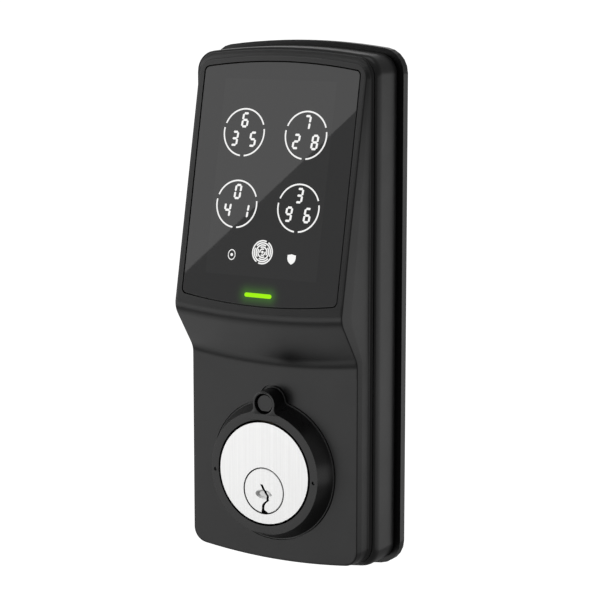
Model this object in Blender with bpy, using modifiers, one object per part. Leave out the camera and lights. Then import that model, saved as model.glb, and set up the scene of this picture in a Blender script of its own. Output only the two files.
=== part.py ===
"""Outside unit of a keypad smart lock for a door: touch display over a key cylinder.

The door face is the plane Y = 0. The front looks towards -Y, +X is to the right
and +Z is up. The origin is the centre of the back plate's door side.
"""

import math

import bmesh
import bpy
from mathutils import Matrix, Vector

MM = 0.001

# ---- Driving sizes, in millimetres ----
PLATE_W = 61.6
PLATE_H = 147.3
PLATE_T = 2.45
PLATE_CORNER_R = 6.9
ARC_R = 186.0

FRAME_INSET = 1.5
FRAME_DEPTH = 10.3
FRAME_WALL = 2.4
FRAME_WEB_T = 2.0
PLATE_GAP = 0.85

RIM_SIDE_INSET = 2.5
RIM_TOP_INSET = 1.95
RIM_BOTTOM_INSET = 2.4
RIM_T = 0.55
RIM_CORNER_R = 4.5
BODY_SIDE_INSET = 3.5
BODY_TOP_INSET = 2.3
BODY_BOTTOM_INSET = 3.1
BODY_CORNER_R = 4.2
BODY_WALL = 2.2
LOWER_DEPTH = 5.95
EDGE_BEVEL = 0.7

HEAD_TILT = 11.47
HEAD_TOP_DEPTH = 0.1
HEAD_LENGTH = 72.8
CREASE_FROM_NOSE = 13.0
HEAD_WALL = 3.3

GLASS_RIM = 2.55
GLASS_TOP_RIM = 2.0
GLASS_BOTTOM_RIM = 3.85
GLASS_T = 1.1
GLASS_CORNER_R = 1.9
SEAL_W = 1.7
SEAL_T = 0.5
PANEL_T = 1.2
LIGHT_W = 8.6
LIGHT_H = 1.2
LIGHT_RISE = 2.95

CYL_RISE = 29.0
CYL_R = 14.3
CYL_PROUD = 5.15
PLUG_DROP = 5.0
PLUG_R = 6.35
PLUG_TURN_GAP = 0.3
COLLAR_GAP = 0.6
COLLAR_W = 3.1
COLLAR_FLARE = 2.35
COLLAR_SINK = 0.6
SPIGOT_W = 3.4
DIMPLE_R = 0.5
DIMPLE_IN = 1.7
LUG_OUT = 5.25
LUG_BASE_R = 4.15
LUG_FACE_R = 3.55
LUG_BORE_R = 2.9

PIN_COUNT = 5
PIN_FIRST = 4.0
PIN_R = 1.4
CHAMBER_R = 1.7
CHAMBER_END = 0.71
DRIVER_L = 5.0
KEY_PIN_L = (3.2, 4.6, 3.9, 5.0, 3.5)
SPRING_L = 4.6
SPRING_WIRE_R = 0.17

BUTTON_R = 2.325
BUTTON_RECESS = 0.8
BUTTON_T = 1.8
BUTTON_TRAVEL = 1.2
STEM_R = 1.1
STEM_CLIP_R = 1.75

TAIL_L = 40.0
TAIL_W = 6.4
TAIL_T = 1.6
POST_R = 2.5
POST_L = 15.0
POST_X = 19.0
CABLE_W = 14.0
CABLE_H = 8.0
LIP_W = 1.0
GASKET_W = 2.4
GASKET_T = 0.7
SCREW_R = 1.5
SCREW_HEAD_R = 2.8
SCREW_HEAD_T = 1.1
BOARD_T = 1.6

GAP = 0.3
FINE = 56
ROUND = 40
SMALL = 14

# ---- Positions that follow from the sizes ----
HALF_W = PLATE_W / 2
HALF_H = PLATE_H / 2
PLATE_FRONT = -PLATE_T
FRAME_BACK = PLATE_FRONT - PLATE_GAP
FRAME_FRONT = FRAME_BACK - FRAME_DEPTH
BODY_BACK = FRAME_FRONT - GAP
RIM_FRONT = BODY_BACK - RIM_T
LOWER_FACE = BODY_BACK - LOWER_DEPTH
CYL_FACE = LOWER_FACE - CYL_PROUD
CYL_Z = -HALF_H + CYL_RISE
PLUG_Z = CYL_Z - PLUG_DROP
COLLAR_FACE_R = CYL_R + COLLAR_W
COLLAR_BASE_R = COLLAR_FACE_R + COLLAR_FLARE
SPIGOT_R = CYL_R + SPIGOT_W
DIMPLE_X = CYL_R + DIMPLE_IN
LUG_Z = CYL_Z + CYL_R + LUG_OUT
TILT = math.radians(HEAD_TILT)
HEAD_Z = HALF_H - BODY_TOP_INSET - 1.2
HEAD_Y = RIM_FRONT - HEAD_TOP_DEPTH
NOSE_Y = HEAD_Y - HEAD_LENGTH * math.sin(TILT)
NOSE_Z = HEAD_Z - HEAD_LENGTH * math.cos(TILT)
CREASE_Z = NOSE_Z - CREASE_FROM_NOSE
NECK_SLOPE = (NOSE_Z - CREASE_Z) / (NOSE_Y - LOWER_FACE)
BODY_W = HALF_W - BODY_SIDE_INSET


def clear_scene():
    for obj in list(bpy.data.objects):
        bpy.data.objects.remove(obj, do_unlink=True)


clear_scene()
LOCK = bpy.data.collections.new("keypad_smart_lock")
CUTTERS = bpy.data.collections.new("cutters")
bpy.context.scene.collection.children.link(LOCK)
bpy.context.scene.collection.children.link(CUTTERS)


def material(name, colour, roughness, metallic=0.0):
    """A Principled material called name."""
    mat = bpy.data.materials.new(name)
    mat.use_nodes = True
    bsdf = mat.node_tree.nodes["Principled BSDF"]
    bsdf.inputs["Base Color"].default_value = (*colour, 1.0)
    bsdf.inputs["Roughness"].default_value = roughness
    bsdf.inputs["Metallic"].default_value = metallic
    return mat


BLACK_PAINT = material("black_paint", (0.035, 0.035, 0.037), 0.42, 0.2)
BLACK_TRIM = material("black_trim", (0.028, 0.028, 0.03), 0.38, 0.2)
DARK_GLASS = material("dark_glass", (0.012, 0.012, 0.013), 0.08)
SATIN_NICKEL = material("satin_nickel", (0.78, 0.78, 0.77), 0.28, 1.0)
PLATED_STEEL = material("plated_steel", (0.62, 0.62, 0.6), 0.35, 1.0)
BRASS = material("brass", (0.72, 0.55, 0.25), 0.32, 1.0)
RUBBER = material("rubber", (0.015, 0.015, 0.015), 0.8)
FOAM = material("foam", (0.03, 0.03, 0.03), 0.95)
BOARD = material("board", (0.02, 0.11, 0.05), 0.5)
CHIP = material("chip", (0.02, 0.02, 0.022), 0.45)
PLASTIC = material("plastic", (0.05, 0.05, 0.055), 0.5)
LIGHT = material("light", (0.32, 1.0, 0.05), 0.3)


# ---- Outlines: lists of (x, z) points, in millimetres ----
def arch(half_w, top, bottom, corner_r, radius=ARC_R, arc_steps=6, corner_steps=5):
    """A tall plate outline with gently arched top and bottom and round corners."""

    def quarter(apex, sign):
        centre = apex - sign * radius
        x_c = half_w - corner_r
        z_c = centre + sign * math.sqrt((radius - corner_r) ** 2 - x_c**2)
        lean = math.atan2(x_c, abs(z_c - centre))
        half = []
        for i in range(corner_steps):
            a = lean + (math.pi / 2 - lean) * (1 - i / corner_steps)
            x = x_c + corner_r * math.sin(a)
            half.append((x, z_c + sign * corner_r * math.cos(a)))
        for i in range(arc_steps):
            a = lean * (1 - i / arc_steps)
            half.append((radius * math.sin(a), centre + sign * radius * math.cos(a)))
        return half

    upper = quarter(top, 1)
    lower = quarter(bottom, -1)
    loop = upper + [(0.0, top)] + [(-x, z) for x, z in reversed(upper)]
    loop += [(-x, z) for x, z in lower] + [(0.0, bottom)] + list(reversed(lower))
    return loop


def circle(x, z, radius, steps=ROUND):
    ring = []
    for i in range(steps):
        a = 2 * math.pi * i / steps
        ring.append((x + radius * math.cos(a), z + radius * math.sin(a)))
    return ring


def box_loop(x, z, width, height, corner_r=0.0, steps=4):
    """A rectangle centred on (x, z), with round corners where corner_r is set."""
    half_w = width / 2
    half_h = height / 2
    if corner_r == 0.0:
        return [
            (x + half_w, z + half_h),
            (x - half_w, z + half_h),
            (x - half_w, z - half_h),
            (x + half_w, z - half_h),
        ]
    loop = []
    for quadrant, (sx, sz) in enumerate(((1, 1), (-1, 1), (-1, -1), (1, -1))):
        for i in range(steps + 1):
            a = math.pi / 2 * (quadrant + i / steps)
            px = x + sx * (half_w - corner_r) + corner_r * math.cos(a)
            loop.append((px, z + sz * (half_h - corner_r) + corner_r * math.sin(a)))
    return loop


# ---- Solids ----
# Pieces with many cuts, which the MANIFOLD solver closes where EXACT leaves gaps.
MANY_CUTS = ("back_plate", "mid_frame", "front_housing", "collar_ring")


def finish_mesh(name, mesh, mat, collection):
    """Welds and orients a mesh, and links it as an object."""
    work = bmesh.new()
    work.from_mesh(mesh)
    bmesh.ops.remove_doubles(work, verts=work.verts, dist=1e-6)
    bmesh.ops.recalc_face_normals(work, faces=work.faces)
    work.to_mesh(mesh)
    work.free()
    mesh.name = name
    obj = bpy.data.objects.new(name, mesh)
    collection.objects.link(obj)
    if mat:
        mesh.materials.clear()
        mesh.materials.append(mat)
    return obj


def evaluated_mesh(obj):
    graph = bpy.context.evaluated_depsgraph_get()
    return bpy.data.meshes.new_from_object(obj.evaluated_get(graph))


def prism(name, loops, front, back, mat=None):
    """A flat outline with its holes, from Y = front to Y = back."""
    curve = bpy.data.curves.new(name + "_outline", "CURVE")
    curve.dimensions = "2D"
    curve.fill_mode = "BOTH"
    curve.extrude = abs(back - front) / 2 * MM
    for loop in loops:
        spline = curve.splines.new("POLY")
        spline.points.add(len(loop) - 1)
        for point, (x, z) in zip(spline.points, loop):
            point.co = (x * MM, z * MM, 0.0, 1.0)
        spline.use_cyclic_u = True
    outline = bpy.data.objects.new(name + "_outline", curve)
    CUTTERS.objects.link(outline)
    mesh = evaluated_mesh(outline)
    bpy.data.objects.remove(outline, do_unlink=True)
    middle = Vector((0.0, (front + back) / 2 * MM, 0.0))
    mesh.transform(Matrix.Translation(middle) @ Matrix.Rotation(math.pi / 2, 4, "X"))
    return finish_mesh(name, mesh, mat, LOCK if mat else CUTTERS)


def cone(name, x, z, front, back, r_front, r_back, mat=None, steps=ROUND):
    """A cylinder or a cone along Y, from Y = front to Y = back."""
    mesh = bpy.data.meshes.new(name)
    work = bmesh.new()
    bmesh.ops.create_cone(
        work,
        cap_ends=True,
        segments=steps,
        radius1=r_back * MM,
        radius2=r_front * MM,
        depth=(back - front) * MM,
    )
    place = Matrix.Translation(Vector((x, (front + back) / 2, z)) * MM)
    place = place @ Matrix.Rotation(math.pi / 2, 4, "X")
    bmesh.ops.transform(work, matrix=place, verts=work.verts)
    work.to_mesh(mesh)
    work.free()
    return finish_mesh(name, mesh, mat, LOCK if mat else CUTTERS)


def turned(name, profile, place, mat=None, steps=ROUND, ring=False):
    """Turns (radius, height) points about Z, then moves the solid by place.

    The profile runs down its outer side. A ring's profile is a closed loop.
    """
    mesh = bpy.data.meshes.new(name + "_profile")
    work = bmesh.new()
    points = [work.verts.new((r * MM, 0.0, h * MM)) for r, h in profile]
    for a, b in zip(points, points[1:]):
        work.edges.new((a, b))
    if ring:
        work.edges.new((points[-1], points[0]))
    work.to_mesh(mesh)
    work.free()
    source = bpy.data.objects.new(name + "_profile", mesh)
    CUTTERS.objects.link(source)
    screw = source.modifiers.new("Turn", "SCREW")
    screw.axis = "Z"
    screw.steps = steps
    screw.render_steps = steps
    screw.use_merge_vertices = True
    screw.merge_threshold = 0.00001
    solid = evaluated_mesh(source)
    bpy.data.objects.remove(source, do_unlink=True)
    solid.transform(place)
    return finish_mesh(name, solid, mat, LOCK if mat else CUTTERS)


def along_y(x, y, z):
    """Stands a turned piece's height along -Y, with its height 0 at (x, y, z)."""
    return Matrix.Translation(Vector((x, y, z)) * MM) @ Matrix.Rotation(math.pi / 2, 4, "X")


def upright(x, y, z):
    return Matrix.Translation(Vector((x, y, z)) * MM)


def boolean(obj, tool, operation):
    step = obj.modifiers.new(tool.name, "BOOLEAN")
    step.operation = operation
    step.solver = "MANIFOLD" if obj.name in MANY_CUTS else "EXACT"
    step.object = tool
    tool.hide_render = True
    tool.display_type = "WIRE"


def cut(obj, *tools):
    for tool in tools:
        boolean(obj, tool, "DIFFERENCE")


def join(obj, *tools):
    for tool in tools:
        boolean(obj, tool, "UNION")


def bake(obj):
    """Applies an object's modifiers, so that its edges can be worked on."""
    mesh = evaluated_mesh(obj)
    for step in list(obj.modifiers):
        obj.modifiers.remove(step)
    work = bmesh.new()
    work.from_mesh(mesh)
    bmesh.ops.remove_doubles(work, verts=work.verts, dist=2e-6)
    bmesh.ops.dissolve_limit(
        work, angle_limit=math.radians(0.5), verts=work.verts, edges=work.edges
    )
    work.to_mesh(mesh)
    work.free()
    obj.data = mesh
    return obj


def smooth(obj, degrees=35.0):
    obj.data.shade_smooth()
    obj.data.set_sharp_from_angle(angle=math.radians(degrees))


def set_origin(obj, x, y, z):
    """Moves an object's origin, and leaves its shape where it is."""
    move = Vector((x, y, z)) * MM
    obj.data.transform(Matrix.Translation(-move))
    obj.location = move


HEAD_PLACE = Matrix.Translation(Vector((0.0, HEAD_Y, HEAD_Z)) * MM) @ Matrix.Rotation(
    -TILT, 4, "X"
)


def on_head(obj):
    """Moves a solid from the flat display frame onto the tilted head face."""
    obj.data.transform(HEAD_PLACE)
    return obj


def plate_arch(side, top=None, bottom=None, corner_r=None):
    """The back plate's outline, drawn in by the given insets."""
    top = side if top is None else top
    bottom = side if bottom is None else bottom
    corner_r = PLATE_CORNER_R - side if corner_r is None else corner_r
    return arch(HALF_W - side, HALF_H - top, bottom - HALF_H, corner_r)


# ---- Back plate with the parts that sit against the door ----
SCREW_IN = 9.7
SCREW_SPOTS = (
    (HALF_W - SCREW_IN, HALF_H - 40.0),
    (SCREW_IN - HALF_W, HALF_H - 40.0),
    (HALF_W - SCREW_IN, 11.5 - HALF_H),
    (SCREW_IN - HALF_W, 11.5 - HALF_H),
)
CYL_SCREW_X = 9.6
CYL_SCREW_Z = CYL_Z + 3.0
CLIP_R = 8.3
PLATE_BORE_R = CLIP_R + 0.9
CABLE_Z = CYL_Z + CYL_R + CABLE_H / 2 + LIP_W + 0.2
CABLE_X = 9.5
GROOVE_IN = 3.2
BAR_Z = CABLE_Z + CABLE_H / 2 + 10.0


def build_plate():
    holes = [circle(0.0, PLUG_Z, PLATE_BORE_R)]
    holes.append(box_loop(CABLE_X, CABLE_Z, CABLE_W, CABLE_H, 2.0))
    for side in (-1, 1):
        holes.append(circle(side * POST_X, CYL_Z, POST_R + GAP, SMALL))
        holes.append(circle(side * CYL_SCREW_X, CYL_SCREW_Z, SCREW_R + GAP, SMALL))
    for x, z in SCREW_SPOTS:
        holes.append(circle(x, z, SCREW_R + GAP, SMALL))
    plate = prism("back_plate", [plate_arch(0.0)] + holes, PLATE_FRONT, 0.0, BLACK_PAINT)
    for n, (x, z) in enumerate(SCREW_SPOTS):
        sink = cone(
            f"plate_sink_{n}", x, z, -SCREW_HEAD_T - GAP, 1.0,
            SCREW_HEAD_R + GAP, SCREW_HEAD_R + GAP, steps=SMALL,
        )
        cut(plate, sink)
    for n, side in enumerate((-1, 1)):
        sink = cone(
            f"cylinder_sink_{n}", side * CYL_SCREW_X, CYL_SCREW_Z, -SCREW_HEAD_T - GAP,
            1.0, SCREW_HEAD_R + GAP, SCREW_HEAD_R + GAP, steps=SMALL,
        )
        cut(plate, sink)
    outer = plate_arch(GROOVE_IN)
    low_top = BAR_Z
    high_bottom = BAR_Z + GASKET_W + 2 * GAP
    side_in = GROOVE_IN + GASKET_W + 2 * GAP
    half = HALF_W - side_in
    low = box_loop(
        0.0, (low_top - HALF_H + side_in) / 2, 2 * half, low_top + HALF_H - side_in, 2.6
    )
    high_top = HALF_H - side_in - 2.4
    high = box_loop(
        0.0, (high_top + high_bottom) / 2, 2 * half, high_top - high_bottom, 2.6
    )
    groove = prism("seal_groove", [outer, low, high], -GASKET_T - GAP, 1.0)
    cut(plate, groove)
    grow = 2 * GAP
    low_in = box_loop(
        0.0, (low_top - HALF_H + side_in) / 2, 2 * half + grow,
        low_top + HALF_H - side_in + grow, 2.6 + GAP,
    )
    high_in = box_loop(
        0.0, (high_top + high_bottom) / 2, 2 * half + grow,
        high_top - high_bottom + grow, 2.6 + GAP,
    )
    prism(
        "weather_gasket", [plate_arch(GROOVE_IN + GAP), low_in, high_in], -GASKET_T, 0.0, FOAM
    )
    return plate


build_plate()

for label, side in (("left", -1), ("right", 1)):
    post = turned(
        f"mounting_post_{label}",
        [
            (0.0, POST_L),
            (POST_R - 0.4, POST_L),
            (POST_R, POST_L - 0.5),
            (POST_R, 1.5),
            (POST_R + 1.4, 1.5),
            (POST_R + 1.4, GAP),
            (POST_R, GAP),
            (POST_R, PLATE_FRONT + GAP),
            (0.0, PLATE_FRONT + GAP),
        ],
        upright(side * POST_X, 0.0, CYL_Z) @ Matrix.Rotation(-math.pi / 2, 4, "X"),
        PLATED_STEEL,
        24,
    )
    smooth(post)


def grommet():
    """A rubber lining of the cable outlet, with a lip on each side of the plate."""
    hole = box_loop(CABLE_X, CABLE_Z, CABLE_W - 3.0, CABLE_H - 3.0, 1.2)
    neck = box_loop(CABLE_X, CABLE_Z, CABLE_W - 2 * GAP, CABLE_H - 2 * GAP, 1.8)
    lip = box_loop(CABLE_X, CABLE_Z, CABLE_W + 2 * LIP_W, CABLE_H + 2 * LIP_W, 2.8)
    ring = prism("cable_grommet", [neck, hole], PLATE_FRONT - 0.5, 0.8, RUBBER)
    back_lip = prism("grommet_lip", [lip, hole], GAP, 1.3)
    join(ring, back_lip)
    return ring


grommet()


# ---- Middle frame: a ring with a web, between the plate and the front housing ----
RABBET = 0.9
WEB_BACK = FRAME_BACK - RABBET
WEB_FRONT = WEB_BACK - FRAME_WEB_T
SEAL_CORD = 0.9
CYL_HOLE_R = CYL_R + GAP + 0.4


def build_frame():
    ring = prism(
        "mid_frame",
        [plate_arch(FRAME_INSET), plate_arch(FRAME_INSET + FRAME_WALL)],
        FRAME_FRONT, FRAME_BACK, BLACK_PAINT,
    )
    holes = [circle(0.0, CYL_Z, CYL_HOLE_R)]
    for x, z in SCREW_SPOTS:
        holes.append(circle(x, z, SCREW_R + GAP, SMALL))
    web = prism(
        "frame_web",
        [plate_arch(FRAME_INSET + FRAME_WALL - 0.3)] + holes,
        WEB_FRONT, WEB_BACK + 0.05,
    )
    join(ring, web)
    rear = prism("frame_rear_rabbet", [plate_arch(FRAME_INSET + 0.8)], WEB_BACK, 1.0)
    front = prism(
        "frame_front_rabbet", [plate_arch(FRAME_INSET + 1.2)], FRAME_FRONT - 1.0,
        FRAME_FRONT + SEAL_CORD + GAP,
    )
    outlet = prism(
        "frame_outlet",
        [box_loop(CABLE_X, CABLE_Z, CABLE_W + 3.0, CABLE_H + 2.0, 2.0)],
        WEB_FRONT - 0.5, WEB_BACK + 0.5,
    )
    cut(ring, rear, front, outlet)
    for n, side in enumerate((-1, 1)):
        well = prism(
            f"post_well_{n}",
            [circle(side * POST_X, CYL_Z, POST_R + 1.0, SMALL)],
            WEB_BACK - 0.4, 1.0,
        )
        cut(ring, well)
    return ring


build_frame()
BODY_GASKET_IN = FRAME_INSET + 0.8 + GAP
prism(
    "body_gasket",
    [plate_arch(BODY_GASKET_IN), plate_arch(BODY_GASKET_IN + 2.0)],
    WEB_BACK + GAP, PLATE_FRONT - GAP, RUBBER,
)
CORD_IN = FRAME_INSET + 1.2 + GAP
prism(
    "housing_gasket",
    [plate_arch(CORD_IN), plate_arch(CORD_IN + SEAL_CORD)],
    FRAME_FRONT, FRAME_FRONT + SEAL_CORD, RUBBER,
)


# ---- Front housing: one die-cast shell, the head tilted over the lower face ----
def housing_block(name, inset, wall, front_wall, back, mat=None):
    """The housing's outer form, or its hollow where inset and the walls are set."""
    shape = arch(
        BODY_W - inset,
        HALF_H - BODY_TOP_INSET - inset,
        BODY_BOTTOM_INSET + inset - HALF_H,
        max(BODY_CORNER_R - inset, 1.5),
    )
    block = prism(name, [shape], NOSE_Y - 6.0, back, mat)
    above = prism(
        name + "_above",
        [box_loop(0.0, 0.0, 4 * HALF_W, 4 * HALF_H)],
        -60.0, front_wall,
    )
    on_head(above)
    arc = []
    reach = HALF_W + 6.0
    low = CREASE_Z + wall * 0.6
    for i in range(17):
        x = reach * (1 - i / 8)
        arc.append((x, low - ARC_R + math.sqrt(ARC_R**2 - x * x)))
    arc = [(x, 2 * low - z) for x, z in arc]
    below = prism(
        name + "_below",
        [arc + [(-reach, -2 * HALF_H), (reach, -2 * HALF_H)]],
        NOSE_Y - 40.0, LOWER_FACE + wall,
    )
    shear = Matrix.Identity(4)
    shear[2][1] = NECK_SLOPE
    shear[2][3] = -NECK_SLOPE * (LOWER_FACE + wall) * MM
    below.data.transform(shear)
    cut(block, above, below)
    return bake(block)


def bevel_front(block, width):
    """Rounds the edges between the front faces and the sides."""
    work = bmesh.new()
    work.from_mesh(block.data)
    chosen = []
    for edge in work.edges:
        if len(edge.link_faces) != 2:
            continue
        facing = sorted(-face.normal.y for face in edge.link_faces)
        side = min(edge.link_faces, key=lambda face: -face.normal.y)
        if facing[1] > 0.9 and facing[0] < 0.8 and edge.is_convex:
            if abs(side.normal.y) < 0.02 or side.normal.z < -0.3:
                chosen.append(edge)
    bmesh.ops.bevel(
        work, geom=chosen, offset=width * MM, segments=2, profile=0.5, affect="EDGES",
        clamp_overlap=True,
    )
    work.to_mesh(block.data)
    work.free()


GLASS_HALF_W = BODY_W - GLASS_RIM
GLASS_TOP = -GLASS_TOP_RIM
GLASS_BOTTOM = -HEAD_LENGTH + GLASS_BOTTOM_RIM


def glass_arch(inset, corner_r=None):
    corner_r = max(GLASS_CORNER_R - inset, 0.8) if corner_r is None else corner_r
    return arch(
        GLASS_HALF_W - inset, GLASS_TOP - inset, GLASS_BOTTOM + inset, corner_r,
        corner_steps=4, arc_steps=6,
    )


POCKET_DEPTH = GLASS_T + GAP + SEAL_T + GAP
WINDOW_IN = SEAL_W + GAP
BOSS_R = 3.1
BOSS_DRILL = 3.6


def build_housing():
    body = housing_block("front_housing", 0.0, 0.0, 0.0, BODY_BACK - 0.1, BLACK_PAINT)
    bevel_front(body, EDGE_BEVEL)
    rim = prism(
        "housing_rim",
        [plate_arch(RIM_SIDE_INSET, RIM_TOP_INSET, RIM_BOTTOM_INSET, RIM_CORNER_R)],
        RIM_FRONT, BODY_BACK,
    )
    join(body, rim)
    hollow = housing_block("housing_hollow", BODY_WALL, BODY_WALL, HEAD_WALL, 5.0)
    for n, (x, z) in enumerate(SCREW_SPOTS):
        boss = cone(f"boss_{n}", x, z, NOSE_Y - 10.0, 10.0, BOSS_R, BOSS_R, steps=SMALL)
        cut(hollow, boss)
    hollow.hide_render = True
    hollow.display_type = "WIRE"
    cut(body, hollow)
    pocket = prism("glass_pocket", [glass_arch(-GAP)], -5.0, POCKET_DEPTH)
    window = prism("display_window", [glass_arch(WINDOW_IN)], 0.5, HEAD_WALL + 2.0)
    cut(body, on_head(pocket), on_head(window))
    seat = cone(
        "collar_seat", 0.0, CYL_Z, LOWER_FACE - 4.0, LOWER_FACE + COLLAR_SINK,
        COLLAR_BASE_R + GAP, COLLAR_BASE_R + GAP,
    )
    lug_seat = cone(
        "lug_seat", 0.0, LUG_Z, LOWER_FACE - 4.0, LOWER_FACE + COLLAR_SINK,
        LUG_BASE_R + GAP + 0.2, LUG_BASE_R + GAP + 0.2, steps=24,
    )
    bore = cone(
        "collar_bore", 0.0, CYL_Z, LOWER_FACE - 4.0, BODY_BACK + 2.0,
        SPIGOT_R + GAP, SPIGOT_R + GAP,
    )
    stem = cone(
        "stem_hole", 0.0, LUG_Z, LOWER_FACE - 4.0, BODY_BACK,
        STEM_R + GAP, STEM_R + GAP, steps=SMALL,
    )
    cut(body, seat, lug_seat, bore, stem)
    for n, (x, z) in enumerate(SCREW_SPOTS):
        drill = cone(
            f"boss_drill_{n}", x, z, BODY_BACK - BOSS_DRILL, 2.0, SCREW_R + GAP,
            SCREW_R + GAP, steps=SMALL,
        )
        cut(body, drill)
    return body


build_housing()


# ---- Display: glass, its seal, the touch panel and the status light ----
on_head(prism("display_glass", [glass_arch(0.0)], 0.05, GLASS_T, DARK_GLASS))
SEAL_FRONT = GLASS_T + GAP
SEAL_BACK = SEAL_FRONT + SEAL_T
on_head(
    prism(
        "glass_seal", [glass_arch(0.3), glass_arch(0.3 + SEAL_W - 0.3)],
        SEAL_FRONT, SEAL_BACK, FOAM,
    )
)
LIGHT_S = GLASS_BOTTOM + LIGHT_RISE
PANEL_BOTTOM = LIGHT_S + LIGHT_H / 2 + GAP
on_head(
    prism(
        "touch_panel",
        [
            arch(
                GLASS_HALF_W - WINDOW_IN - GAP, GLASS_TOP - WINDOW_IN - GAP,
                PANEL_BOTTOM, 1.0, corner_steps=3, arc_steps=5,
            )
        ],
        SEAL_FRONT, SEAL_FRONT + PANEL_T, PLASTIC,
    )
)
on_head(
    prism(
        "status_light_guide",
        [box_loop(0.0, LIGHT_S, LIGHT_W, LIGHT_H, LIGHT_H / 2 - 0.02)],
        SEAL_FRONT, SEAL_FRONT + 3.4, LIGHT,
    )
)


# ---- Collar round the key cylinder, with its lug ----
SPIGOT_BACK = BODY_BACK + 0.2


def build_collar():
    sink = COLLAR_SINK - GAP
    grow = (COLLAR_BASE_R - COLLAR_FACE_R) * sink / CYL_PROUD
    base = CYL_PROUD + sink
    inner = CYL_R + COLLAR_GAP
    tail = SPIGOT_BACK - CYL_FACE
    collar = turned(
        "collar_ring",
        [
            (inner + 0.25, 0.0),
            (COLLAR_FACE_R - 0.25, 0.0),
            (COLLAR_FACE_R + 0.05, -0.25),
            (COLLAR_BASE_R + grow, -base),
            (SPIGOT_R, -base),
            (SPIGOT_R, -tail),
            (inner, -tail),
            (inner, -0.25),
        ],
        along_y(0.0, CYL_FACE, CYL_Z), BLACK_TRIM, FINE, ring=True,
    )
    lug = turned(
        "lug_cone",
        [
            (0.0, 0.0),
            (LUG_FACE_R - 0.25, 0.0),
            (LUG_FACE_R, -0.25),
            (LUG_BASE_R + 0.1, -base),
            (0.0, -base),
        ],
        along_y(0.0, CYL_FACE, LUG_Z), None, 32,
    )
    web = prism(
        "lug_web",
        [box_loop(0.0, LUG_Z - 2.6, 2 * LUG_FACE_R + 0.4, 3.0)],
        CYL_FACE + 0.02, CYL_FACE + base - 0.02,
    )
    join(collar, lug, web)
    bore = cone(
        "lug_bore", 0.0, LUG_Z, CYL_FACE - 2.0, LOWER_FACE + 4.0, LUG_BORE_R, LUG_BORE_R,
        steps=32,
    )
    cut(collar, bore)
    for n, side in enumerate((-1, 1)):
        dimple = cone(
            f"dimple_{n}", side * DIMPLE_X, CYL_Z - 0.75, CYL_FACE - 1.0, CYL_FACE + 0.6,
            DIMPLE_R, DIMPLE_R * 0.6, steps=12,
        )
        cut(collar, dimple)
    smooth(collar, 30.0)
    return collar


build_collar()
RING_FRONT = LOWER_FACE + BODY_WALL + GAP


def open_ring(z, r_in, r_out, opening, half_degrees, steps=28):
    """A snap ring's outline round (0, z), open towards the given angle."""
    start = math.radians(opening + half_degrees)
    sweep = 2 * math.pi - 2 * math.radians(half_degrees)
    loop = []
    for r, order in ((r_in, 1), (r_out, -1)):
        for i in range(steps + 1):
            t = i / steps if order == 1 else 1 - i / steps
            a = start + sweep * t
            loop.append((r * math.cos(a), z + r * math.sin(a)))
    return loop


collar_clip = prism(
    "collar_clip", [open_ring(CYL_Z, SPIGOT_R + GAP, SPIGOT_R + GAP + 1.6, 90, 14, 48)],
    RING_FRONT, RING_FRONT + 1.3, PLATED_STEEL,
)
smooth(collar_clip)


# ---- Sprung button in the lug ----
BUTTON_FRONT = CYL_FACE + BUTTON_RECESS
BUTTON_BACK = BUTTON_FRONT + BUTTON_T
STEM_END = LOWER_FACE + BODY_WALL + 2.6
SEAT_Y = LOWER_FACE + COLLAR_SINK
CLIP_FRONT = LOWER_FACE + BODY_WALL + GAP


def build_button():
    flat = math.asin(0.9)
    head = []
    for i in range(25):
        a = -flat + (math.pi + 2 * flat) * i / 24
        head.append((BUTTON_R * math.cos(a), LUG_Z + BUTTON_R * math.sin(a)))
    button = prism("lug_button", [head], BUTTON_FRONT, BUTTON_BACK, BLACK_TRIM)
    stem = turned(
        "button_stem",
        [
            (0.0, -BUTTON_T + 0.3),
            (STEM_R, -BUTTON_T + 0.3),
            (STEM_R, BUTTON_FRONT - CLIP_FRONT + 0.0),
            (STEM_R - 0.35, BUTTON_FRONT - CLIP_FRONT),
            (STEM_R - 0.35, BUTTON_FRONT - CLIP_FRONT - 1.0),
            (STEM_R, BUTTON_FRONT - CLIP_FRONT - 1.0),
            (STEM_R, BUTTON_FRONT - STEM_END),
            (0.0, BUTTON_FRONT - STEM_END),
        ],
        along_y(0.0, BUTTON_FRONT, LUG_Z), None, 24,
    )
    join(button, stem)
    smooth(button)
    bake(button)
    set_origin(button, 0.0, BUTTON_FRONT, LUG_Z)
    return button


BUTTON = build_button()
button_clip = turned(
    "button_clip",
    [
        (STEM_R - 0.35 + 0.2, 0.0),
        (STEM_CLIP_R, 0.0),
        (STEM_CLIP_R, -0.5),
        (STEM_R - 0.35 + 0.2, -0.5),
    ],
    along_y(0.0, CLIP_FRONT + 0.25, LUG_Z), PLATED_STEEL, 24, ring=True,
)
smooth(button_clip)


def coil(name, place, radius, length, turns, wire_r, mat, points=10):
    """A compression spring along the local Z axis, as a swept wire."""
    curve = bpy.data.curves.new(name + "_path", "CURVE")
    curve.dimensions = "3D"
    curve.bevel_depth = wire_r * MM
    curve.bevel_resolution = 0
    curve.use_fill_caps = True
    count = turns * points + 1
    spline = curve.splines.new("POLY")
    spline.points.add(count - 1)
    rise = length - 2 * wire_r
    for i, point in enumerate(spline.points):
        a = 2 * math.pi * i / points
        h = wire_r + rise * i / (count - 1)
        point.co = (radius * math.cos(a) * MM, radius * math.sin(a) * MM, h * MM, 1.0)
    path = bpy.data.objects.new(name + "_path", curve)
    CUTTERS.objects.link(path)
    mesh = evaluated_mesh(path)
    bpy.data.objects.remove(path, do_unlink=True)
    mesh.transform(place)
    spring = finish_mesh(name, mesh, mat, LOCK)
    smooth(spring, 60.0)
    return spring


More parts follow.
